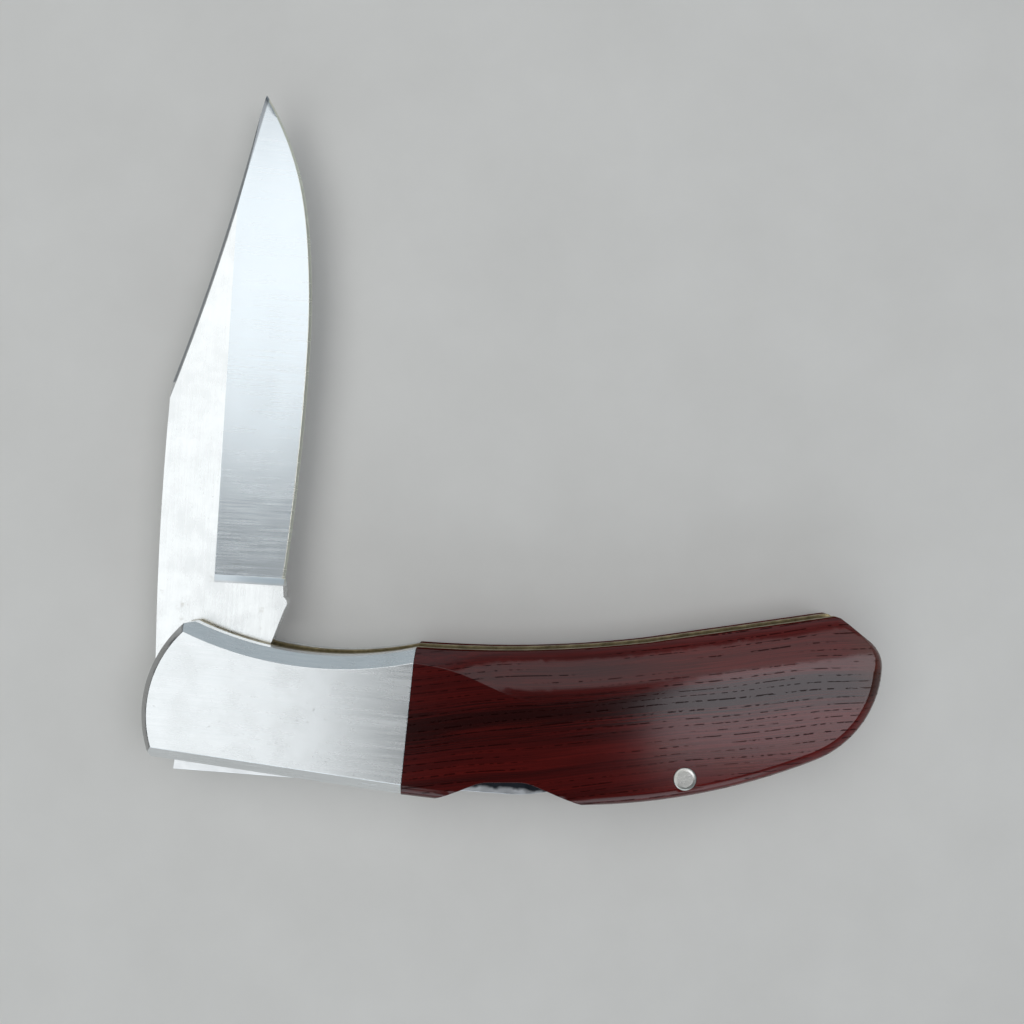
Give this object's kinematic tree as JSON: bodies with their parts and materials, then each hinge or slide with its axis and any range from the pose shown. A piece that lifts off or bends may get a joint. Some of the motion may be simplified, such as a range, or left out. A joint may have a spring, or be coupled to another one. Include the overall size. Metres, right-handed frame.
{
  "type": "folding pocket knife",
  "caption": "Lockback folding knife with a clip point blade, steel bolsters, polished wood scales, brass liners and a rocking lockbar with a thumb notch in the back.",
  "frame": {"origin": "on the axis of the blade pivot, in the flat back face that the knife lies on", "axes": "+X along the handle to the butt, +Y to the side the blade swings out of, +Z through the thickness from the back face to the front face"},
  "size_m": [0.1105, 0.108, 0.013],
  "materials": {
    "blade_steel": "fine polished flats with a crosswise brushed bevel",
    "bolster_steel": "satin, brushed lengthwise",
    "lock_steel": "ground, darkened in the recesses",
    "scale_wood": "polished, glossy",
    "liner_brass": "tarnished",
    "washer_bronze": "plain",
    "pin_metal": "polished"
  },
  "bodies": {
    "handle": {"front_bolster": "bolster_steel", "back_bolster": "bolster_steel", "front_scale": "scale_wood", "back_scale": "scale_wood", "front_liner": "liner_brass", "back_liner": "liner_brass", "back_spacer": "lock_steel", "lock_spring": "lock_steel", "pivot_pin": "pin_metal", "lockbar_pin": "pin_metal", "spacer_pin": "pin_metal", "butt_pin": "pin_metal", "front_bolster_pin_upper": "pin_metal", "front_bolster_pin_rear": "pin_metal", "back_bolster_pin_upper": "pin_metal", "back_bolster_pin_rear": "pin_metal", "front_pivot_washer": "washer_bronze", "back_pivot_washer": "washer_bronze"},
    "blade": {"blade": "blade_steel"},
    "lockbar": {"lockbar": "lock_steel"}
  },
  "joints": [
    {"name": "blade_pivot", "type": "hinge", "parent": "handle", "child": "blade", "pos_m": [0, 0, 0.00644], "axis": [0, 0, 1], "range_deg": [-82, 85]},
    {"name": "lock_release", "type": "hinge", "parent": "handle", "child": "lockbar", "pos_m": [0.02428, -0.01065, 0.00644], "axis": [0, 0, 1], "range_deg": [0, 2], "stiffness_Nm_per_rad": 1.5, "springref_deg": -6.88, "deforming": ["lock_spring"]}
  ]
}
